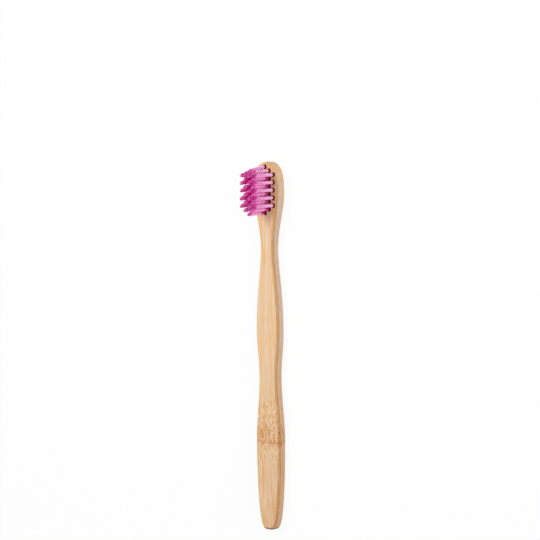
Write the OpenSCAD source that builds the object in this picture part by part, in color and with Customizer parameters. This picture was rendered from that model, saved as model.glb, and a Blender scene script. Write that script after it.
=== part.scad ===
// A child's bamboo toothbrush: a flat one-piece handle with a drilled head, a folded tuft of
// filaments in each hole, and the flat metal anchor that pins each tuft down.
// The brush lies on its back. +X runs from the tail to the head, +Z is the bristle side, and
// the origin lies on the back face, under the middle of the length.

/* [Spans along the handle] */
// From the tail end to the widest place of the palm swell
tail_span = 35.3; // [28:0.1:60]
// From the palm swell to the waist
palm_span = 25.2; // [18:0.1:35]
// From the waist to the widest place of the thumb swell
waist_span = 18.1; // [15:0.1:30]
// From the thumb swell to the narrowest place of the neck
neck_span = 31.2; // [22:0.1:40]
// From the neck to the widest place of the head
head_span = 23.1; // [19:0.1:30]
// From the widest place of the head to its tip
tip_span = 12.1; // [11:0.1:13]

/* [Widths of the handle] */
// Width of the palm swell
palm_w = 12.1; // [10:0.1:15]
// Width of the waist between the two swells
waist_w = 8.8; // [7:0.1:10]
// Width of the thumb swell
thumb_w = 11.3; // [9:0.1:14]
// Width of the neck
neck_w = 6.2; // [5:0.1:8]
// Width of the head
head_w = 13; // [12:0.1:14]
// Width of the flat on the tail end
tail_flat = 2.6; // [2:0.1:4]
// Width of the short straight at the tip of the head
tip_flat = 1; // [0.6:0.1:1.6]

/* [Thickness] */
// Thickness of the bamboo
body_t = 4.8; // [4.5:0.1:7]
// Radius of the rounded edge all the way round both faces
edge_r = 1.25; // [0.8:0.05:1.5]

/* [Tuft holes] */
// Diameter of each tuft hole
hole_d = 1.8; // [1.7:0.02:1.9]
// Depth of each tuft hole below the face
hole_depth = 3.2; // [2.8:0.1:3.5]
// From the side of the head to the middle of the outer holes
side_margin = 2.2; // [2.1:0.05:2.5]
// From the tip of the head to the middle of the first hole
tip_margin = 1.9; // [1.8:0.05:2.6]
// Spacing of the holes along one column
row_pitch = 3; // [2.9:0.05:3.1]

/* [Tufts] */
// Height of the trimmed bristles above the face
bristle_len = 9.3; // [7:0.1:12]
// Lean of the tuft nearest the tip of the head, back toward the neck, in degrees
end_lean = 4; // [0:0.5:4]
// Height of the packed root at the bottom of the hole
root_h = 2; // [1.9:0.05:2.2]
// Diameter of the circle round the corners of one strand
strand_d = 0.28; // [0.18:0.01:0.28]
// Number of strands in the inner ring of a tuft
inner_strands = 5; // [3:1:5]
// Number of strands in the outer ring of a tuft
outer_strands = 9; // [7:1:9]

/* [Anchors] */
// Thickness of the anchor strip
anchor_t = 0.3; // [0.2:0.01:0.35]
// Height of the anchor strip
anchor_h = 1.3; // [1:0.05:1.4]
// How far each end of an anchor bites into the wall of its hole
anchor_bite = 0.16; // [0.1:0.01:0.2]
// Thickness of the fold of filaments under an anchor
fold_t = 0.35; // [0.25:0.01:0.4]

/* [Hidden] */
// Gap between a tuft's root and its hole
root_fit = 0.02;
// Gap between an anchor and the slit or fold that holds it
anchor_fit = 0.02;
// How far a cut runs past the face that it opens
overrun = 0.5;
// How deep the strands are sunk in the root that carries them
strand_sink = 0.2;
columns = 5;
middle_rows = 7;
hole_fn = 48;
root_sides = 8;
strand_sides = 3;

// Exponents of the rounded ends, along the handle and across it
tail_powers = [1.9, 3.9];
tip_powers = [2.8, 2.2];
// How early each swell rises: under 1 early, over 1 late
even_rise = 1;
thumb_rise = 0.75;
head_rise = 1.15;
// Steps of the outline in each span and each end, and of the rounded edge
span_steps = 9;
end_steps = 14;
edge_steps = 4;

// Radius of the outer and inner ring of strands at the root and at the tips, as shares of the hole's radius
root_ring_shares = [0.68, 0.34];
tip_ring_shares = [1, 0.5];
// Turn of the strand pattern from one tuft to the next
pattern_turn = 23;

brush_len = tail_span + palm_span + waist_span + neck_span + head_span + tip_span;
palm_x = tail_span - brush_len / 2;
waist_x = palm_x + palm_span;
thumb_x = waist_x + waist_span;
neck_x = thumb_x + neck_span;
head_x = neck_x + head_span;
tip_x = head_x + tip_span;
col_pitch = (head_w - 2 * side_margin) / (columns - 1);
middle_col = (columns - 1) / 2;
field_x = tip_x - tip_margin - (middle_rows - 1) / 2 * row_pitch;
hole_floor = body_t - hole_depth;
root_z = hole_floor + root_fit;
root_top = root_z + root_h;
root_r = hole_d / 2 - root_fit;
anchor_l = hole_d + 2 * anchor_bite;
anchor_z = root_z + fold_t;

// Each hole as [column, row, x, y], one column after another
function rows_in(c) = middle_rows - abs(c - middle_col);
function row_x(c, r) = field_x + (r - (rows_in(c) - 1) / 2) * row_pitch;
function column_y(c) = (c - middle_col) * col_pitch;
HOLES = [for (c = [0 : columns - 1]) for (r = [0 : rows_in(c) - 1]) [c, r, row_x(c, r), column_y(c)]];

// Columns are lettered from the -Y side, and rows are numbered from the neck
LETTERS = "abcde";
function tuft_name(h) = str("tuft_", LETTERS[h[0]], h[1] + 1);

// Outline of the handle as [x, half width], from the tail to the tip
function end_x_share(a, powers) = pow(sin(a), 2 / powers[0]);
function end_w_share(a, powers) = pow(cos(a), 2 / powers[1]);
function last_angle(flat, w, powers) = acos(pow(flat / w, powers[1] / 2));
function end_stations(x, span, w, flat, powers) =
  let (last = last_angle(flat, w, powers), reach = end_x_share(last, powers))
  [for (i = [1 : end_steps]) let (a = last * i / end_steps)
    [x + span * end_x_share(a, powers) / reach, w / 2 * end_w_share(a, powers)]];
function rise_share(t) = (1 - cos(180 * t)) / 2;
function span_stations(x, span, w, next_w, rise) =
  [for (i = [0 : span_steps - 1]) let (t = i / span_steps)
    [x + span * t, (w + (next_w - w) * rise_share(pow(t, rise))) / 2]];
function reversed(list) = [for (i = [len(list) - 1 : -1 : 0]) list[i]];
// The thumb swell is laid out from its own widest place back to the neck's, so that it fills out early
function mirrored_span(x, span, w, next_w, rise) =
  [for (i = [0 : span_steps - 1]) let (t = 1 - i / span_steps)
    [x + span * (1 - t), (next_w + (w - next_w) * rise_share(pow(t, rise))) / 2]];

STATIONS = concat(
  reversed(end_stations(palm_x, -tail_span, palm_w, tail_flat, tail_powers)),
  span_stations(palm_x, palm_span, palm_w, waist_w, even_rise),
  span_stations(waist_x, waist_span, waist_w, thumb_w, even_rise),
  mirrored_span(thumb_x, neck_span, thumb_w, neck_w, thumb_rise),
  span_stations(neck_x, head_span, neck_w, head_w, head_rise),
  [[head_x, head_w / 2]],
  end_stations(head_x, tip_span, head_w, tip_flat, tip_powers)
);
STATION_COUNT = len(STATIONS);
OUTLINE = concat([for (s = STATIONS) [s[0], -s[1]]], [for (s = reversed(STATIONS)) s]);
SIDES = len(OUTLINE);
function unit(v) = v / norm(v);
function outward(i) =
  let (before = OUTLINE[(i + SIDES - 1) % SIDES], here = OUTLINE[i], after = OUTLINE[(i + 1) % SIDES],
    along = unit(unit(here - before) + unit(after - here)))
  [along[1], -along[0]];

// Rings of the rounded edge as [inset, height], from the back face to the front one
EDGE_RINGS = [for (i = [0 : edge_steps]) let (a = 90 * i / edge_steps)
  [edge_r * (1 - sin(a)), edge_r * (1 - cos(a))]];
RINGS = concat(EDGE_RINGS, [for (e = reversed(EDGE_RINGS)) [e[0], body_t - e[1]]]);

module blank() {
  points = [for (ring = RINGS) for (i = [0 : SIDES - 1])
    let (p = OUTLINE[i] - ring[0] * outward(i)) [p[0], p[1], ring[1]]];
  wall = [for (j = [0 : len(RINGS) - 2]) for (i = [0 : SIDES - 1])
    let (a = j * SIDES + i, b = j * SIDES + (i + 1) % SIDES)
    for (face = [[a, a + SIDES, b + SIDES], [a, b + SIDES, b]]) face];
  top = (len(RINGS) - 1) * SIDES;
  caps = [for (i = [0 : STATION_COUNT - 2]) let (right = i, left = SIDES - 1 - i)
    for (face = [
      [right, right + 1, left - 1], [right, left - 1, left],
      [top + right, top + left, top + left - 1], [top + right, top + left - 1, top + right + 1]
    ]) face];
  polyhedron(points = points, faces = concat(wall, caps));
}

module tuft_hole() {
  translate([0, 0, hole_floor]) cylinder(d = hole_d, h = hole_depth + overrun, $fn = hole_fn);
  anchor_space();
}

module anchor_space() {
  grown = 2 * anchor_fit;
  translate([0, 0, anchor_z + anchor_h / 2])
    cube([anchor_l + grown, anchor_t + grown, anchor_h + grown], center = true);
}

module handle() {
  color("burlywood")
    difference() {
      blank();
      for (h = HOLES) translate([h[2], h[3], 0]) tuft_hole();
    }
}

// Strands of one tuft as [ring, polar angle, share of the ring's radius], turned a little from tuft to tuft
function strand_places(turn) = concat(
  [[1, turn, 0]],
  [for (i = [0 : inner_strands - 1]) [1, turn + 360 * i / inner_strands, 1]],
  [for (i = [0 : outer_strands - 1]) [0, turn + 360 * i / outer_strands, 1]]
);
function strand_ring(place, shares, z, shift) =
  let (r = hole_d / 2 * shares[place[0]] * place[2],
    middle = [r * cos(place[1]) - shift, r * sin(place[1])])
  [for (k = [0 : strand_sides - 1]) let (a = place[1] + 360 * k / strand_sides)
    [middle[0] + strand_d / 2 * cos(a), middle[1] + strand_d / 2 * sin(a), z]];

module strands(turn, lean) {
  places = strand_places(turn);
  shift = bristle_len * tan(lean);
  points = [for (place = places) for (p = concat(
    strand_ring(place, root_ring_shares, root_top - strand_sink, 0),
    strand_ring(place, tip_ring_shares, body_t + bristle_len, shift))) p];
  faces = [for (s = [0 : len(places) - 1]) let (b = 2 * strand_sides * s, t = b + strand_sides)
    for (face = concat(
      [for (k = [1 : strand_sides - 2]) [b, b + k, b + k + 1]],
      [for (k = [1 : strand_sides - 2]) [t, t + k + 1, t + k]],
      [for (k = [0 : strand_sides - 1]) let (n = (k + 1) % strand_sides) [b + k, t + k, t + n]],
      [for (k = [0 : strand_sides - 1]) let (n = (k + 1) % strand_sides) [b + k, t + n, b + n]])) face];
  polyhedron(points = points, faces = faces);
}

module tuft(h) {
  color("orchid")
    translate([h[2], h[3], 0]) {
      difference() {
        translate([0, 0, root_z]) rotate(180 / root_sides) cylinder(r = root_r, h = root_h, $fn = root_sides);
        anchor_space();
      }
      strands(pattern_turn * (h[0] + columns * h[1]), h[1] == middle_rows - 1 ? end_lean : 0);
    }
}

module anchor() {
  translate([0, 0, anchor_z + anchor_h / 2]) cube([anchor_l, anchor_t, anchor_h], center = true);
}

module anchors() {
  color("goldenrod")
    for (h = HOLES) translate([h[2], h[3], 0]) anchor();
}

handle();
anchors();
for (h = HOLES)
  tuft(h);
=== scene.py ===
"""A child's bamboo toothbrush: a one-piece bamboo handle, 29 tufts of pink filaments, and the flat
metal anchors that pin the tufts down. Lengths are in metres unless a comment says millimetres."""

import math
import random

import bpy
from mathutils import Matrix, Vector


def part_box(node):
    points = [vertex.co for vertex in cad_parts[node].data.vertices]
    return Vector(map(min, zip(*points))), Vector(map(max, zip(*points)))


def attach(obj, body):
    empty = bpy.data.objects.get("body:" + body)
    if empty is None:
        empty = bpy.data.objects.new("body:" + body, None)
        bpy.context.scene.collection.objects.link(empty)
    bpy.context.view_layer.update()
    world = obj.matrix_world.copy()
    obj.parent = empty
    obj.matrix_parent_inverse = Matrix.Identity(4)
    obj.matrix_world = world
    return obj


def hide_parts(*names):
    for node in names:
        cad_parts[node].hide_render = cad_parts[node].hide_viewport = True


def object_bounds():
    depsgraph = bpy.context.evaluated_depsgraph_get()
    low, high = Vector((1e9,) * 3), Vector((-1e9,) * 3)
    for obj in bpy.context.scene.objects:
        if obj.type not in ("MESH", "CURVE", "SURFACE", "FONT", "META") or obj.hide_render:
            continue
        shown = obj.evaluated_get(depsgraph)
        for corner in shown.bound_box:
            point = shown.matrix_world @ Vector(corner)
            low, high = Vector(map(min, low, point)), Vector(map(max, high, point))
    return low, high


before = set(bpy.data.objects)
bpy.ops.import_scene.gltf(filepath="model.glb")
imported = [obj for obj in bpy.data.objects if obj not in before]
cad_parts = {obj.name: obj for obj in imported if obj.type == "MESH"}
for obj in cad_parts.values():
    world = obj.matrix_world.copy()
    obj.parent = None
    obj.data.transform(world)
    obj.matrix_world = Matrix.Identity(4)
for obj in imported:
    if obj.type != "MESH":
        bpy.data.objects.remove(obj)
cad_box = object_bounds()

MM = 0.001
HANDLE_LOW, HANDLE_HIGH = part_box("handle")
ANCHORS_LOW, ANCHORS_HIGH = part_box("anchors")

# Spans along the handle, from the tail to the tip of the head
TAIL_SPAN = 35.3 * MM
PALM_SPAN = 25.2 * MM
WAIST_SPAN = 18.1 * MM
NECK_SPAN = 31.2 * MM
TIP_SPAN = 12.1 * MM
# Widths of the handle, where each span begins or ends
PALM_W = 12.1 * MM
WAIST_W = 8.8 * MM
THUMB_W = 11.3 * MM
NECK_W = 6.2 * MM
TAIL_FLAT = 2.6 * MM
TIP_FLAT = 1 * MM
HEAD_W = HANDLE_HIGH.y - HANDLE_LOW.y
FACE_Z = HANDLE_HIGH.z
EDGE_R = 1.25 * MM

# Places along the handle, worked out from its two ends
PALM_X = HANDLE_LOW.x + TAIL_SPAN
WAIST_X = PALM_X + PALM_SPAN
THUMB_X = WAIST_X + WAIST_SPAN
NECK_X = THUMB_X + NECK_SPAN
HEAD_X = HANDLE_HIGH.x - TIP_SPAN
# The band where the bamboo's knot crosses the handle
KNOT_LOW_X = -37.8 * MM
KNOT_HIGH_X = -25.5 * MM

# Exponents of the rounded ends, along the handle and across it, and how early a swell rises
TAIL_POWERS = (1.9, 3.9)
TIP_POWERS = (2.8, 2.2)
EVEN_RISE = 1
THUMB_RISE = 0.75
HEAD_RISE = 1.15
SPAN_STEPS = 30
END_STEPS = 34
EDGE_STEPS = 9

HOLE_R = 0.9 * MM
HOLE_DEPTH = 3.2 * MM
MOUTH_CHAMFER = 0.08 * MM
HOLE_SIDES = 32
ANCHOR_T = 0.3 * MM
ANCHOR_L = 2.12 * MM
ANCHOR_FIT = 0.02 * MM
# Two faces of the handle that meet at more than this stay a sharp edge
SHARP_ANGLE = math.radians(35)

# The middle of the field of holes, which is halfway between its end rows
FIELD_X = 61.6 * MM

BRISTLE_LEN = cad_box[1].z - FACE_Z
FILAMENTS = 88
FILAMENT_R = 0.09 * MM
FILAMENT_SIDES = 5
FILAMENT_POINTS = 10
# Over 1, a filament's points stand closer together toward its tip
POINTS_NEAR_TIP = 1.25
# The attribute that keeps a point's place along its filament, from 0 to 1, and the place past which a
# face has the finish of a cut end
ALONG = "along"
CUT_SHARE = 0.92
# A bundle of filaments at the mouth of its hole, where it lies over to +Y, and at its top
MOUTH_R = 0.47 * MM
MOUTH_SHIFT = 0.28 * MM
BUNDLE_TIP_R = 0.75 * MM
# Heights from the face. A bundle moves over between SHIFT_LOW_Z and the face, and closes up between
# PARTED_Z and CLOSED_Z, above the anchor that parts it
SHIFT_LOW_Z = -1.5 * MM
PARTED_Z = -1.2 * MM
CLOSED_Z = 2.5 * MM
# The trimmed top: its slope down toward the head, how far its middle lies below the longest
# filament, and how much single filaments differ
TRIM_SLOPE = 0.8
TRIM_DROP = 0.7 * MM
TRIM_SPREAD = 0.08 * MM
# How far single filaments go astray, and how far whole tufts bend by chance
STRAY = 0.16 * MM
TUFT_BEND = 0.1 * MM
# How early a bundle fans out, strays and bends: under 1 early, over 1 late
FAN_POWER = 0.85
STRAY_POWER = 1.6
BEND_POWER = 1.2
GOLDEN_ANGLE = math.pi * (3 - 5**0.5)
# How far the tops lean: the outer columns in to the middle one, and every column to +Y
SIDE_LEAN = 0.5 * MM
SWEEP = 0.35 * MM
# Tufts nearer than END_ZONE to the row at the tip lean back to the neck: by END_LEAN in that row, less
# the farther they are from it, and more on its +Y side than on its -Y side
END_ZONE = 2.75 * MM
END_LEAN = 1.65 * MM

FLOOR_SIZE = 6.0
# Just under the back, so that the two don't share a plane
FLOOR_Z = -0.1 * MM
# The world's strength as light, and how far the floor is plain white to the camera
WORLD_LIGHT = 0.5
FLOOR_WHITE = 0.92


def srgb(red, green, blue):
    """A colour as it is read off a picture, 0 to 255, in the linear values that shaders take."""
    shares = [value / 255 for value in (red, green, blue)]
    linear = [s / 12.92 if s <= 0.04045 else ((s + 0.055) / 1.055) ** 2.4 for s in shares]
    return (*linear, 1.0)


class Value:
    """A socket that gives a value. Python's operators on it add Math nodes."""

    def __init__(self, graph, socket):
        self.graph = graph
        self.socket = socket

    def output(self, name):
        return Value(self.graph, self.socket.node.outputs[name])

    def maths(self, operation, *others):
        return self.graph.maths(operation, self, *others)

    def __add__(self, other):
        return self.maths("ADD", other)

    def __radd__(self, other):
        return self.maths("ADD", other)

    def __sub__(self, other):
        return self.maths("SUBTRACT", other)

    def __rsub__(self, other):
        return self.graph.maths("SUBTRACT", other, self)

    def __mul__(self, other):
        return self.maths("MULTIPLY", other)

    def __rmul__(self, other):
        return self.maths("MULTIPLY", other)

    def __truediv__(self, other):
        return self.maths("DIVIDE", other)

    def __pow__(self, other):
        return self.maths("POWER", other)


class Graph:
    """Adds nodes to a shader tree or a geometry tree."""

    def __init__(self, tree):
        self.tree = tree
        tree.nodes.clear()

    def node(self, kind, settings=None, sockets=None, out=0):
        """One node: its settings are set first, then its sockets take values or links."""
        made = self.tree.nodes.new(kind)
        for name, value in (settings or {}).items():
            setattr(made, name, value)
        for name, value in (sockets or {}).items():
            if isinstance(value, Value):
                self.tree.links.new(value.socket, made.inputs[name])
            else:
                made.inputs[name].default_value = value
        return Value(self, made.outputs[out]) if made.outputs else made

    def maths(self, operation, *values):
        return self.node("ShaderNodeMath", {"operation": operation}, dict(enumerate(values)))

    def point(self, x, y, z):
        return self.node("ShaderNodeCombineXYZ", None, {"X": x, "Y": y, "Z": z})

    def rise(self, value, low, high):
        """0 below low, 1 above high and smooth between them, or the other way round if low is higher."""
        flipped = low > high
        sockets = {
            "Value": value,
            "From Min": min(low, high),
            "From Max": max(low, high),
            "To Min": 1 if flipped else 0,
            "To Max": 0 if flipped else 1,
        }
        return self.node("ShaderNodeMapRange", {"interpolation_type": "SMOOTHSTEP"}, sockets)


class Finish(Graph):
    """A procedural material on object coordinates, which it gives in millimetres."""

    def __init__(self, name):
        self.material = bpy.data.materials.new(name)
        self.material.use_nodes = True
        super().__init__(self.material.node_tree)
        places = self.node("ShaderNodeTexCoord", out="Object")
        split = self.node("ShaderNodeSeparateXYZ", None, {0: places}, out="X")
        self.x = split / MM
        self.y = split.output("Y") / MM
        self.z = split.output("Z") / MM

    def noise(self, x, y, z, detail=2, roughness=0.5):
        sockets = {
            "Vector": self.point(x, y, z),
            "Scale": 1,
            "Detail": detail,
            "Roughness": roughness,
        }
        return self.node("ShaderNodeTexNoise", {"noise_dimensions": "3D"}, sockets, out="Fac")

    def mix(self, factor, first, second, blend="MIX"):
        settings = {"data_type": "RGBA", "blend_type": blend}
        return self.node("ShaderNodeMix", settings, {0: factor, 6: first, 7: second}, out=2)

    def shade(self, colour, roughness, height=None, depth=0.1 * MM, **constants):
        """The finished surface. height is a relief of that depth, and constants are further sockets."""
        sockets = {"Base Color": colour, "Roughness": roughness, **constants}
        if height is not None:
            bump = {"Strength": 1.0, "Distance": depth, "Height": height}
            sockets["Normal"] = self.node("ShaderNodeBump", None, bump)
        surface = self.node("ShaderNodeBsdfPrincipled", None, sockets)
        self.node("ShaderNodeOutputMaterial", None, {"Surface": surface})
        return self.material


class Bamboo(Finish):
    """The wood of the handle. Its masks run from 0 to 1, and its places are in millimetres."""

    def __init__(self):
        super().__init__("bamboo")
        self.edge_r = EDGE_R / MM
        self.head_x = HEAD_X / MM
        self.knot_low, self.knot_high = KNOT_LOW_X / MM, KNOT_HIGH_X / MM

        # The knot reaches from a scalloped ring toward the head, and the fibres wander as they cross it
        scallop = self.noise(0, self.y * 1.1, self.z * 0.8, detail=1) * 2.8 - 1.4
        self.ring_x = self.knot_low + scallop
        above_ring = self.rise(self.x - self.ring_x, -2.5, 1.5)
        self.knot = above_ring * self.rise(self.x, self.knot_high, self.knot_low + 5)
        wander = (self.noise(self.x * 0.45, self.y * 0.5, self.z * 0.5) - 0.5) * 2.6 * self.knot
        sway = (self.noise(self.x * 0.05, 0, 0) - 0.5) * 1.2
        self.fibre_y = self.y + wander + sway

        # The sawn sides begin higher on the rounding at the head
        self.head = self.rise(self.x, NECK_X / MM, self.head_x)
        self.edge_z = self.z - self.head * 0.8 * self.edge_r
        above_back = self.rise(self.z, 0.4 * self.edge_r, self.edge_r)
        self.side = above_back * self.rise(self.edge_z, self.under_face(0.7), self.under_face(1.2))

        self.lines = self.fibres(0.05, 4.4, 2.2, detail=1)
        self.threads = self.fibres(0.15, 7, 5, detail=3, roughness=0.7)
        # Dashes are short, and longer in the palm
        palm = self.rise(self.x, self.knot_low - 1, self.knot_low - 14)
        short_dashes = self.fibres(0.5, 2.8, 1.4, detail=2, roughness=0.6)
        long_dashes = self.fibres(0.17, 3.9, 1.4, detail=2, roughness=0.65)
        self.dashes = short_dashes * (1 - palm) + long_dashes * palm

    def under_face(self, share):
        """The height that lies this share of the edge's radius under the bristle face."""
        return FACE_Z / MM - share * self.edge_r

    def fibres(self, along, across, through, **settings):
        """Noise that follows the fibres, at these scales along the handle, across it and through it."""
        return self.noise(self.x * along, self.fibre_y * across, self.z * through, **settings)

    def grain(self):
        """Bundles of fibres, golden and pale lines, and fine threads."""
        bundles = self.fibres(0.015, 1.5, 0.9, detail=2, roughness=0.6)
        on_face = 1 - self.side * 0.6
        golden = self.rise(self.lines, 0.52, 0.58) * on_face * 0.9
        pale = self.rise(self.lines, 0.48, 0.41) * on_face * 0.85
        fine = self.rise(self.threads, 0.48, 0.72) * 0.4
        colour = self.mix(self.rise(bundles, 0.38, 0.64), srgb(236, 208, 179), srgb(236, 196, 148))
        colour = self.mix(golden, colour, srgb(239, 187, 112))
        colour = self.mix(pale, colour, srgb(239, 213, 193))
        colour = self.mix(fine, colour, srgb(208, 160, 110))

        # Toward the tail the wood is duller, with short streaks
        duller = self.rise(self.x, self.knot_high + 25, self.knot_low)
        streaks = self.rise(self.fibres(0.11, 2.4, 2.4, detail=3), 0.5, 0.64)
        colour = self.mix(duller * 0.4, colour, srgb(226, 186, 146))
        return self.mix(duller * streaks * 0.7, colour, srgb(216, 162, 104))

    def dash_marks(self, colour):
        """Golden and pale dashes from above the knot to the tail, and golden ones at the tip of the head."""
        fewer_in_palm = self.rise(self.x, self.knot_low - 1, self.knot_low - 12) * 0.35
        dashed = self.rise(self.x, self.knot_high + 10, self.knot_high) - fewer_in_palm
        dashed = dashed + self.rise(self.x, self.head_x, self.head_x + 6) * 0.5
        dashed = dashed * (1 - self.side * 0.8)
        golden = dashed * self.rise(self.dashes, 0.53, 0.59) * 0.9
        pale = dashed * self.rise(self.dashes, 0.48, 0.41) * (1 - self.head) * 0.8
        colour = self.mix(golden, colour, srgb(218, 154, 84))
        return self.mix(pale, colour, srgb(240, 214, 186))

    def knot_marks(self, colour):
        """Brown streaks in the knot, dark pores on its faces, and a row of flecks along its ring."""
        brown = self.rise(self.fibres(0.28, 1.5, 1.9, detail=2), 0.5, 0.6)
        brown = brown * self.rise(self.x, self.knot_high - 3, self.knot_low + 4)
        pores = self.rise(self.fibres(1.1, 1.9, 1.7, detail=1), 0.65, 0.7)
        flecks = self.rise((self.x - self.ring_x).maths("ABSOLUTE"), 0.7, 0.2)
        flecks = flecks * self.rise(self.fibres(0.9, 3.4, 1.6, detail=1), 0.47, 0.54)
        colour = self.mix(self.knot * brown * 0.85, colour, srgb(206, 138, 74))
        colour = self.mix(self.knot * pores * (1 - self.side) * 0.85, colour, srgb(146, 88, 50))
        return self.mix(flecks * 0.9, colour, srgb(186, 120, 66))

    def sawn_sides(self, colour):
        """The sides are speckled, and painted shade makes them darker than the faces and greyer toward the
        head.
        """
        speckle = self.rise(self.fibres(0.5, 2.2, 2.8, detail=3, roughness=0.7), 0.45, 0.7)
        side_shade = self.mix(self.rise(self.x, -32, 14), (0.7, 0.66, 0.66, 1), (0.67, 0.7, 0.82, 1))
        side_shade = self.mix(self.rise(self.x, 35, self.head_x), side_shade, (0.71, 0.78, 1, 1))
        colour = self.mix(self.side * 0.85, colour, side_shade, "MULTIPLY")
        return self.mix(self.side * speckle * 0.3, colour, srgb(190, 148, 108))

    def face_edge(self, colour):
        """The edge of the bristle face: brown with painted shade and in parts gilded on the -Y side, and a
        painted highlight on the +Y side.
        """
        near = self.rise(self.y, 1, -1)
        edge = self.rise(self.edge_z, self.under_face(1.5), self.under_face(1))
        rounded = self.z - self.head * 0.18 * self.edge_r
        edge = edge * self.rise(rounded, self.under_face(-0.05), self.under_face(0.45)) * near
        tuft_shadow_beside_head = self.head * self.rise(self.x, self.head_x + 5, self.head_x)
        gilded = self.rise(self.z, self.under_face(0.9), self.under_face(0.6))
        gilded = gilded * self.rise(self.z, self.under_face(0.1), self.under_face(0.4)) * near
        in_parts = self.rise(self.noise(self.x * 0.17, 3, 0, detail=2), 0.5, 0.6)
        light = self.rise(self.z, self.under_face(1.3), self.under_face(0.35)) * (1 - near)
        light = light * self.rise(self.z, self.under_face(0.01), self.under_face(0.12))
        # Painted shade on the -Y edge, then a painted brown shadow of the tufts beside the head
        colour = self.mix(edge, colour, (0.67, 0.55, 0.42, 1), "MULTIPLY")
        colour = self.mix(edge * tuft_shadow_beside_head * 0.5, colour, srgb(204, 142, 84))
        colour = self.mix(gilded * in_parts * 0.5, colour, srgb(214, 148, 78))
        # A painted highlight on the +Y edge
        return self.mix(light, colour, srgb(255, 210, 144))

    def back_edge(self, colour):
        """The edge of the back is browner, but light at the head."""
        edge = self.rise(self.z, 0.8 * self.edge_r, 0.3 * self.edge_r)
        edge = edge * self.rise(self.z, 0, 0.1 * self.edge_r)
        colour = self.mix(edge, colour, (0.94, 0.82, 0.66, 1), "MULTIPLY")
        return self.mix(edge * self.head * 0.8, colour, srgb(255, 212, 158))

    def ends(self, colour):
        """The mottled tip of the head, and painted shade on the end of the tail."""
        tip = self.rise(self.x, self.head_x + 3, self.head_x + 9)
        mottled = 0.35 + self.rise(self.dashes, 0.4, 0.6) * 0.5
        tail_x = HANDLE_LOW.x / MM
        tail_end_shade = self.rise(self.x, tail_x + 1.1, tail_x + 0.5)
        colour = self.mix(tip * mottled, colour, srgb(220, 168, 108))
        return self.mix(tail_end_shade * 0.9, colour, srgb(124, 74, 42))

    def finished(self):
        colour = self.grain()
        for marks in (
            self.dash_marks,
            self.knot_marks,
            self.sawn_sides,
            self.face_edge,
            self.back_edge,
            self.ends,
        ):
            colour = marks(colour)
        relief = self.threads * 0.5 + self.rise(self.lines, 0.5, 0.7) * 0.3
        roughness = 0.5 + self.threads * 0.15
        gloss = {"Specular IOR Level": 0.35}
        return self.shade(colour, roughness, relief, depth=0.03 * MM, **gloss)


def drilled_bamboo():
    """The wall of a hole, painted the deep red of the pink-tinted shade that shows beside the tufts."""
    wall = Finish("drilled_bamboo")
    patches = wall.rise(wall.noise(wall.x * 3, wall.y * 3, wall.z * 3), 0.35, 0.65)
    colour = wall.mix(patches, srgb(225, 16, 56), srgb(190, 4, 36))
    return wall.shade(colour, 0.8 + patches * 0.1)


def nylon():
    """Pink filaments, with light and shade painted in: pale as if lit in the tufts that stand outermost, and
    deeper, as painted shade, where others stand round them.
    """
    strand = Finish("pink_filament")
    height = strand.z - FACE_Z / MM
    length = BRISTLE_LEN / MM
    risen = (height / length).maths("MAXIMUM", 0)

    # The column that a filament stands in, with the lean of the tufts taken off
    column_y = strand.y - risen * (SWEEP / MM)
    from_middle = column_y.maths("ABSOLUTE") + risen * (SIDE_LEAN / MM)
    # The outer columns and the tufts nearest the tip, then the tufts nearest the neck, and these last
    # together with the columns on the -Y side. The tufts in these masks are painted paler, as if lit, and
    # the others deeper, as painted shade
    to_tip = strand.x - FIELD_X / MM + from_middle * 0.7
    to_neck = FIELD_X / MM - strand.x + from_middle * 0.7
    outer = strand.rise(from_middle, 3.7, 4.3).maths("MAXIMUM", strand.rise(to_tip, 7.2, 8))
    neck_end = strand.rise(to_neck, 7.2, 8)
    lit_columns = strand.rise(column_y, -1.7, -2.4).maths("MAXIMUM", neck_end)

    shift = (strand.noise(strand.x * 1.2, strand.y * 1.2, 0, detail=1) - 0.5) * 2
    streak = strand.noise(strand.x * 9, strand.y * 9, strand.z * 0.25, detail=1)
    pale = strand.mix(strand.rise(height + shift, 1, length - 2), srgb(246, 186, 230), srgb(242, 164, 216))
    inner = strand.mix(lit_columns, srgb(255, 8, 185), srgb(248, 166, 222))
    # The upper part of the middle column gets less of the painted shade, and the lowest part of all the
    # inner tufts gets more
    middle = strand.rise(from_middle, 1.15, 0.9) * strand.rise(height, 3.5, 6) * (1 - neck_end)
    inner = strand.mix(middle, inner, srgb(252, 110, 204))
    inner = strand.mix(strand.rise(height, 3, 1.6), inner, srgb(196, 12, 116))
    colour = strand.mix(outer, inner, pale)
    colour = strand.mix(strand.rise(streak, 0.45, 0.7) * 0.25, colour, srgb(232, 90, 184))
    top = strand.rise(height + shift * 0.5, length - 2.4, length - 0.8) * 0.4
    colour = strand.mix(top, colour, srgb(220, 80, 180))
    # Painted shade on the filaments that line the gaps beside the middle column
    gap = strand.rise(from_middle, 1.05, 1.25) * strand.rise(from_middle, 2.1, 1.8)
    gap = gap * strand.rise(height, 3, 5) * (1 - neck_end)
    colour = strand.mix(gap, colour, srgb(165, 0, 92))
    # Painted shade at the foot of every tuft, where it stands in its hole
    root = strand.rise(height, 0.7, 0)
    colour = strand.mix(root, colour, srgb(120, 8, 50))

    # A faint painted glow between the tufts, which stands in for the light that the nylon lets through
    inside = strand.rise(height, 2, 4) * (1 - outer) * (1 - lit_columns * 0.8)
    glow = strand.mix(inside, (0, 0, 0, 1), srgb(255, 0, 190))
    lit = {"Emission Color": glow, "Emission Strength": 0.06, "Specular IOR Level": 0.6}
    return strand.shade(colour, 0.32 + streak * 0.1, **lit)


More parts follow.
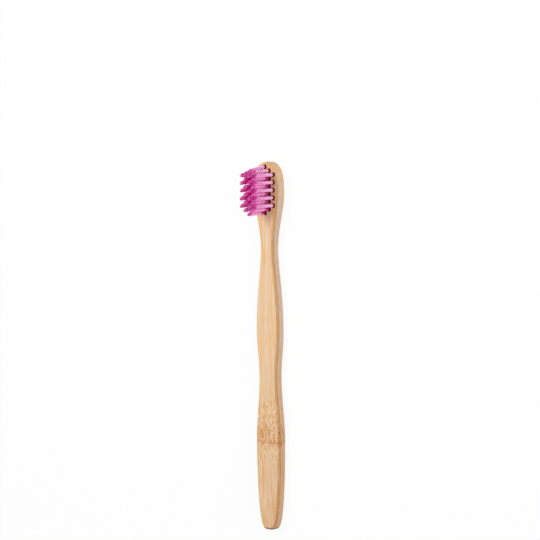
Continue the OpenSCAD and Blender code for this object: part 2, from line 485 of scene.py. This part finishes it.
def cut_nylon():
    """The trimmed ends: deep and light pink in patches, and paler over the outer half of the -Y column."""
    end = Finish("cut_filament")
    patches = end.noise(end.x * 1.2, end.y * 1.2, 0, detail=1)
    colour = end.mix(end.rise(patches, 0.35, 0.65), srgb(214, 30, 150), srgb(250, 130, 214))
    farthest = end.rise(end.y + patches * 0.6, -2.9, -3.7)
    colour = end.mix(farthest, colour, srgb(242, 164, 216))
    return end.shade(colour, 0.5 + patches * 0.1)


def anchor_brass():
    """Drawn brass strip with light tarnish."""
    brass = Finish("anchor_brass")
    tarnish = brass.noise(brass.x * 2, brass.y * 2, brass.z * 2, detail=3)
    drawn = brass.noise(brass.x * 0.5, brass.y * 20, brass.z * 20, detail=1)
    colour = brass.mix(brass.rise(tarnish, 0.4, 0.7), srgb(214, 178, 104), srgb(176, 134, 76))
    return brass.shade(colour, 0.25 + drawn * 0.2, drawn, depth=0.01 * MM, Metallic=1.0)


def end_stations(x, span, width, flat, powers):
    """A rounded end as (x, half width), from just past the widest place out to the flat."""
    last = math.acos((flat / width) ** (powers[1] / 2))
    reach = math.sin(last) ** (2 / powers[0])
    stations = []
    for step in range(1, END_STEPS + 1):
        angle = last * step / END_STEPS
        along = span * math.sin(angle) ** (2 / powers[0]) / reach
        stations.append((x + along, width / 2 * math.cos(angle) ** (2 / powers[1])))
    return stations


def span_stations(x, span, width, next_width, rise):
    """A smooth change from one width to the next, without its last station."""
    stations = []
    for step in range(SPAN_STEPS):
        share = step / SPAN_STEPS
        risen = (1 - math.cos(math.pi * share**rise)) / 2
        stations.append((x + span * share, (width + (next_width - width) * risen) / 2))
    return stations


def handle_outline():
    """The handle seen from above, counterclockwise from the tail."""
    # From the thumb swell to the neck, laid out the other way round, so that the swell fills out early
    thumb = span_stations(NECK_X, -NECK_SPAN, NECK_W, THUMB_W, THUMB_RISE)
    thumb += [(THUMB_X, THUMB_W / 2)]
    stations = end_stations(PALM_X, -TAIL_SPAN, PALM_W, TAIL_FLAT, TAIL_POWERS)[::-1]
    stations += span_stations(PALM_X, PALM_SPAN, PALM_W, WAIST_W, EVEN_RISE)
    stations += span_stations(WAIST_X, WAIST_SPAN, WAIST_W, THUMB_W, EVEN_RISE)
    stations += thumb[:0:-1]
    stations += span_stations(NECK_X, HEAD_X - NECK_X, NECK_W, HEAD_W, HEAD_RISE)
    stations += [(HEAD_X, HEAD_W / 2)]
    stations += end_stations(HEAD_X, TIP_SPAN, HEAD_W, TIP_FLAT, TIP_POWERS)
    near_side = [Vector((x, -half)) for x, half in stations]
    far_side = [Vector((x, half)) for x, half in stations[::-1]]
    return near_side + far_side


def handle_blank():
    """The handle before it is drilled: two flat faces and a rounded edge all the way round."""
    outline = handle_outline()
    sides = len(outline)
    outwards = []
    for i, here in enumerate(outline):
        before, after = outline[i - 1], outline[(i + 1) % sides]
        along = ((here - before).normalized() + (after - here).normalized()).normalized()
        outwards.append(Vector((along.y, -along.x)))
    turns = [math.pi / 2 * step / EDGE_STEPS for step in range(EDGE_STEPS + 1)]
    low_rings = [(EDGE_R * (1 - math.sin(turn)), EDGE_R * (1 - math.cos(turn))) for turn in turns]
    rings = low_rings + [(inset, FACE_Z - z) for inset, z in low_rings[::-1]]
    points = []
    for inset, z in rings:
        points += [(*(p - out * inset), z) for p, out in zip(outline, outwards)]
    faces = []
    for ring in range(len(rings) - 1):
        for i in range(sides):
            a, b = ring * sides + i, ring * sides + (i + 1) % sides
            faces.append((a, b, b + sides, a + sides))
    top = (len(rings) - 1) * sides
    for i in range(sides // 2 - 1):
        right, left = i, sides - 1 - i
        faces.append((right, left, left - 1, right + 1))
        faces.append((top + right, top + right + 1, top + left - 1, top + left))
    return new_object("bamboo_handle", points, faces)


def new_object(name, points, faces):
    mesh = bpy.data.meshes.new(name)
    mesh.from_pydata([tuple(p) for p in points], [], faces)
    mesh.validate()
    made = bpy.data.objects.new(name, mesh)
    bpy.context.scene.collection.objects.link(made)
    return made


def bore_cutter(holes):
    """A pin for each hole, as wide as the bore and flared at the mouth."""
    rings = [
        (HOLE_R, FACE_Z - HOLE_DEPTH),
        (HOLE_R, FACE_Z - MOUTH_CHAMFER),
        (HOLE_R + 2 * MOUTH_CHAMFER, FACE_Z + MOUTH_CHAMFER),
    ]
    points, faces = [], []
    for hole in holes:
        start = len(points)
        for radius, z in rings:
            for side in range(HOLE_SIDES):
                angle = 2 * math.pi * side / HOLE_SIDES
                points.append((hole.x + radius * math.cos(angle), hole.y + radius * math.sin(angle), z))
        for ring in range(len(rings) - 1):
            for side in range(HOLE_SIDES):
                a = start + ring * HOLE_SIDES + side
                b = start + ring * HOLE_SIDES + (side + 1) % HOLE_SIDES
                faces.append((a, b, b + HOLE_SIDES, a + HOLE_SIDES))
        faces.append(tuple(start + side for side in reversed(range(HOLE_SIDES))))
        faces.append(tuple(start + (len(rings) - 1) * HOLE_SIDES + side for side in range(HOLE_SIDES)))
    return new_object("bore_cutter", points, faces)


def slit_cutter(holes):
    """A block for each hole, where the two ends of its anchor bite into the bamboo."""
    half = Vector((ANCHOR_L / 2 + ANCHOR_FIT, ANCHOR_T / 2 + ANCHOR_FIT))
    low, high = ANCHORS_LOW.z - ANCHOR_FIT, ANCHORS_HIGH.z + ANCHOR_FIT
    corners = [(-half.x, -half.y), (half.x, -half.y), (half.x, half.y), (-half.x, half.y)]
    points, faces = [], []
    for hole in holes:
        b = len(points)
        points += [(hole.x + x, hole.y + y, z) for z in (low, high) for x, y in corners]
        faces += [(b + 3, b + 2, b + 1, b), (b + 4, b + 5, b + 6, b + 7)]
        faces += [(b + i, b + (i + 1) % 4, b + 4 + (i + 1) % 4, b + 4 + i) for i in range(4)]
    return new_object("slit_cutter", points, faces)


def baked(piece):
    """Turns a piece and its modifiers into one plain mesh on the same object."""
    graph = bpy.context.evaluated_depsgraph_get()
    mesh = bpy.data.meshes.new_from_object(piece.evaluated_get(graph), depsgraph=graph)
    piece.modifiers.clear()
    piece.data = mesh
    return piece


def handle(holes, wood, drilled):
    """The blank with its holes drilled and slit. It replaces the CAD's coarser handle."""
    piece = handle_blank()
    piece.data.materials.append(wood)
    for cutter in (bore_cutter(holes), slit_cutter(holes)):
        cutter.data.materials.append(drilled)
        cut = piece.modifiers.new("cut", "BOOLEAN")
        cut.object = cutter
        cut.operation = "DIFFERENCE"
        cut.solver = "EXACT"
        cut.material_mode = "TRANSFER"
        baked(piece)
        bpy.data.objects.remove(cutter)
    piece.data.shade_smooth()
    piece.data.set_sharp_from_angle(angle=SHARP_ANGLE)
    weighted = piece.modifiers.new("even_shading", "WEIGHTED_NORMAL")
    weighted.keep_sharp = True
    baked(piece)
    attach(piece, "root")
    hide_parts("handle")


def tuft_tree():
    """The geometry tree of one tuft: filaments packed beside the anchor, which fan out to a trimmed top."""
    tree = bpy.data.node_groups.new("tuft", "GeometryNodeTree")
    tree.is_modifier = True
    graph = Graph(tree)
    inputs = {
        "Hole": "NodeSocketVector",
        "Filaments": "NodeSocketInt",
        "Filament radius": "NodeSocketFloat",
        "Depth": "NodeSocketFloat",
        "Length": "NodeSocketFloat",
        "Mouth radius": "NodeSocketFloat",
        "Tip radius": "NodeSocketFloat",
        "Mouth shift": "NodeSocketFloat",
        "Anchor gap": "NodeSocketFloat",
        "Trim spread": "NodeSocketFloat",
        "Trim slope": "NodeSocketFloat",
        "Stray": "NodeSocketFloat",
        "Bend": "NodeSocketVector",
        "Turn": "NodeSocketFloat",
        "Seed": "NodeSocketInt",
        "Finish": "NodeSocketMaterial",
        "Cut finish": "NodeSocketMaterial",
    }
    for name, kind in inputs.items():
        tree.interface.new_socket(name, in_out="INPUT", socket_type=kind)
    tree.interface.new_socket("Tuft", in_out="OUTPUT", socket_type="NodeSocketGeometry")
    given = graph.node("NodeGroupInput")

    line = graph.node("GeometryNodeCurvePrimitiveLine")
    line = graph.node("GeometryNodeResampleCurve", None, {"Curve": line, "Count": FILAMENT_POINTS})
    copies = graph.node(
        "GeometryNodeDuplicateElements",
        {"domain": "SPLINE"},
        {"Geometry": line, "Amount": given.output("Filaments")},
    )
    number = copies.output("Duplicate Index")
    along = graph.node("GeometryNodeSplineParameter", out="Factor")

    # A sunflower's even spacing, with the middle ones moved off the anchor at the root
    count = given.output("Filaments")
    spread = ((number + 0.5) / count) ** 0.5
    angle = number * GOLDEN_ANGLE + given.output("Turn")
    across = angle.maths("COSINE") * spread
    beside = angle.maths("SINE") * spread

    def chance(offset):
        """A random value from -1 to 1, the same all along a filament."""
        sockets = {2: -1, 3: 1, "ID": number, "Seed": given.output("Seed") + offset}
        return graph.node("FunctionNodeRandomValue", {"data_type": "FLOAT"}, sockets, out=1)

    tip_x = across * given.output("Tip radius")
    trim = chance(0) * given.output("Trim spread") - tip_x * given.output("Trim slope")
    bottom = given.output("Depth") * -1
    z = bottom + (given.output("Length") + trim - bottom) * (1 - (1 - along) ** POINTS_NEAR_TIP)
    risen = (z / given.output("Length")).maths("MAXIMUM", 0)
    fan = given.output("Tip radius") - given.output("Mouth radius")
    radius = given.output("Mouth radius") + fan * risen**FAN_POWER
    parted = graph.rise(z, CLOSED_Z, PARTED_Z) * given.output("Anchor gap")
    side = beside.maths("SIGN")
    stray = given.output("Stray") * risen**STRAY_POWER
    bend = graph.node("ShaderNodeSeparateXYZ", None, {0: given.output("Bend")}, out="X")
    shift = graph.rise(z, SHIFT_LOW_Z, 0) * given.output("Mouth shift")
    curl = risen**BEND_POWER
    x = across * radius + chance(1) * stray + bend * curl
    y = beside * radius + side * parted * (1 - beside.maths("ABSOLUTE"))
    y = y + chance(2) * stray + bend.output("Y") * curl + shift

    # Each point keeps its place along the filament, so that the cut ends can have their own finish
    marked = graph.node(
        "GeometryNodeStoreNamedAttribute", None, {"Geometry": copies, "Name": ALONG, "Value": along}
    )
    placed = graph.node(
        "GeometryNodeSetPosition",
        None,
        {"Geometry": marked, "Position": graph.point(x, y, z), "Offset": given.output("Hole")},
    )
    profile = graph.node(
        "GeometryNodeCurvePrimitiveCircle",
        None,
        {"Resolution": FILAMENT_SIDES, "Radius": given.output("Filament radius")},
    )
    tubes = graph.node(
        "GeometryNodeCurveToMesh", None, {"Curve": placed, "Profile Curve": profile, "Fill Caps": True}
    )
    place = graph.node("GeometryNodeInputNamedAttribute", None, {"Name": ALONG}, out="Attribute")
    tubes = graph.node("GeometryNodeRealizeInstances", None, {"Geometry": tubes})
    walls = {"Geometry": tubes, "Material": given.output("Finish")}
    tubes = graph.node("GeometryNodeSetMaterial", None, walls)
    ends = {
        "Geometry": tubes,
        "Selection": place.maths("GREATER_THAN", CUT_SHARE),
        "Material": given.output("Cut finish"),
    }
    tubes = graph.node("GeometryNodeSetMaterial", None, ends)
    graph.node("NodeGroupOutput", None, {"Tuft": tubes})
    return tree


def set_inputs(modifier, values):
    """Gives the inputs of a tree their values, by the identifiers of their sockets."""
    for item in modifier.node_group.interface.items_tree:
        if item.in_out == "INPUT" and item.name in values:
            modifier[item.identifier] = values[item.name]


def tuft(name, number, hole, field, tree, finish, cut_finish):
    """The filaments of one hole. field is the low and the high corner of the field of holes."""
    luck = random.Random(number)
    low, high = field
    from_side = 2 * (hole.y - low.y) / (high.y - low.y) - 1
    from_tip = (high.x - hole.x) / END_ZONE
    side_lean = SWEEP - SIDE_LEAN * from_side * abs(from_side)
    end_lean = -END_LEAN * max(0, 1 - from_tip) * (1 + from_side)
    piece = new_object(name.replace("tuft", "bristles"), [], [])
    grow = piece.modifiers.new("grow", "NODES")
    grow.node_group = tree
    values = {
        "Hole": (hole.x, hole.y, FACE_Z),
        "Filaments": FILAMENTS,
        "Filament radius": FILAMENT_R,
        "Depth": FACE_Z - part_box(name)[0].z,
        "Length": BRISTLE_LEN - TRIM_DROP,
        "Mouth radius": MOUTH_R,
        "Tip radius": BUNDLE_TIP_R,
        "Anchor gap": ANCHOR_T / 2 + FILAMENT_R,
        "Mouth shift": MOUTH_SHIFT,
        "Trim spread": TRIM_SPREAD,
        "Trim slope": TRIM_SLOPE,
        "Stray": STRAY,
        "Bend": (
            luck.uniform(-1, 1) * TUFT_BEND + end_lean,
            luck.uniform(-1, 1) * TUFT_BEND + side_lean,
            0,
        ),
        "Turn": luck.uniform(0, 2 * math.pi),
        "Seed": number,
        "Finish": finish,
        "Cut finish": cut_finish,
    }
    set_inputs(grow, values)
    bpy.context.view_layer.update()
    baked(piece)
    piece.data.attributes.remove(piece.data.attributes[ALONG])
    piece.data.shade_smooth()
    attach(piece, "root")
    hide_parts(name)


def tuft_holes():
    """The middle of each tuft's hole, read from the part of its solid that is below the face."""
    holes = {}
    for name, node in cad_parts.items():
        if name.startswith("tuft_"):
            root = [v.co for v in node.data.vertices if v.co.z < FACE_Z - HOLE_DEPTH / 2]
            xs, ys = [p.x for p in root], [p.y for p in root]
            holes[name] = Vector(((min(xs) + max(xs)) / 2, (min(ys) + max(ys)) / 2))
    return dict(sorted(holes.items()))


def camera():
    """Above the bristle side, turned toward the -Y side, with the head at the top of the picture."""
    side_turn = math.radians(42.5)
    head_turn = math.radians(4.8)
    # In radians
    roll = -0.0075
    distance = 1.0
    target = Vector((30.08 * MM, -0.15 * MM, 2.4 * MM))
    toward = Vector((
        math.sin(head_turn),
        -math.sin(side_turn) * math.cos(head_turn),
        math.cos(side_turn) * math.cos(head_turn),
    ))
    along = Vector((1, 0, 0))
    up = (along - toward * along.dot(toward)).normalized()
    right = up.cross(toward)
    rolled_right = right * math.cos(roll) + up * math.sin(roll)
    rolled_up = up * math.cos(roll) - right * math.sin(roll)
    data = bpy.data.cameras.new("camera")
    # In millimetres. A long lens from far off, as the photograph shows hardly any perspective.
    data.sensor_width = 36
    data.lens = 170.3
    made = bpy.data.objects.new("camera", data)
    turn = Matrix((rolled_right, rolled_up, toward)).transposed().to_4x4()
    made.matrix_world = Matrix.Translation(target + toward * distance) @ turn
    bpy.context.scene.collection.objects.link(made)
    bpy.context.scene.camera = made


def softbox(name, toward, distance, size, power):
    """A square lamp that faces the middle of the brush."""
    data = bpy.data.lights.new(name, "AREA")
    data.size = size
    data.energy = power
    lamp = bpy.data.objects.new(name, data)
    direction = Vector(toward).normalized()
    lamp.location = direction * distance
    lamp.rotation_mode = "QUATERNION"
    lamp.rotation_quaternion = direction.to_track_quat("Z", "Y")
    bpy.context.scene.collection.objects.link(lamp)


def seen_directly(graph):
    """1 for what the camera sees, also in a mirror or through glass, and 0 for light."""
    path = graph.node("ShaderNodeLightPath", out="Is Camera Ray")
    seen = path.maths("MAXIMUM", path.output("Is Glossy Ray"))
    return seen.maths("MAXIMUM", path.output("Is Transmission Ray"))


def surroundings():
    """A white floor that keeps a faint shadow, and a plain white world."""
    world = bpy.data.worlds.new("world")
    world.use_nodes = True
    bpy.context.scene.world = world
    sky = Graph(world.node_tree)
    strength = WORLD_LIGHT + seen_directly(sky) * (1 - WORLD_LIGHT)
    background = sky.node("ShaderNodeBackground", None, {"Color": (1, 1, 1, 1), "Strength": strength})
    sky.node("ShaderNodeOutputWorld", None, {"Surface": background})

    half = FLOOR_SIZE / 2
    square = ((-half, -half), (half, -half), (half, half), (-half, half))
    corners = [(x, y, FLOOR_Z) for x, y in square]
    floor = new_object("floor", corners, [(0, 1, 2, 3)])
    paper = Finish("white_paper")
    lit = paper.node("ShaderNodeBsdfDiffuse", None, {"Color": (0.9, 0.9, 0.9, 1)})
    plain = paper.node("ShaderNodeEmission", None, {"Color": (1, 1, 1, 1), "Strength": 1.0})
    whiteness = seen_directly(paper) * FLOOR_WHITE
    mixed = paper.node("ShaderNodeMixShader", None, {0: whiteness, 1: lit, 2: plain})
    paper.node("ShaderNodeOutputMaterial", None, {"Surface": mixed})
    floor.data.materials.append(paper.material)


def build():
    bpy.context.scene.view_settings.view_transform = "Standard"
    camera()
    softbox("key_light", toward=(0.42, 0.32, 0.85), distance=0.6, size=0.25, power=1.55)
    softbox("side_light", toward=(0.15, -0.95, 0.3), distance=0.8, size=0.4, power=2.6)
    surroundings()
    holes = tuft_holes()
    handle(list(holes.values()), Bamboo().finished(), drilled_bamboo())
    tree = tuft_tree()
    finish = nylon()
    cut_finish = cut_nylon()
    xs = [hole.x for hole in holes.values()]
    ys = [hole.y for hole in holes.values()]
    field = (Vector((min(xs), min(ys))), Vector((max(xs), max(ys))))
    for number, (name, hole) in enumerate(holes.items()):
        tuft(name, number, hole, field, tree, finish, cut_finish)
    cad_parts["anchors"].data.materials.clear()
    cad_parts["anchors"].data.materials.append(anchor_brass())


build()
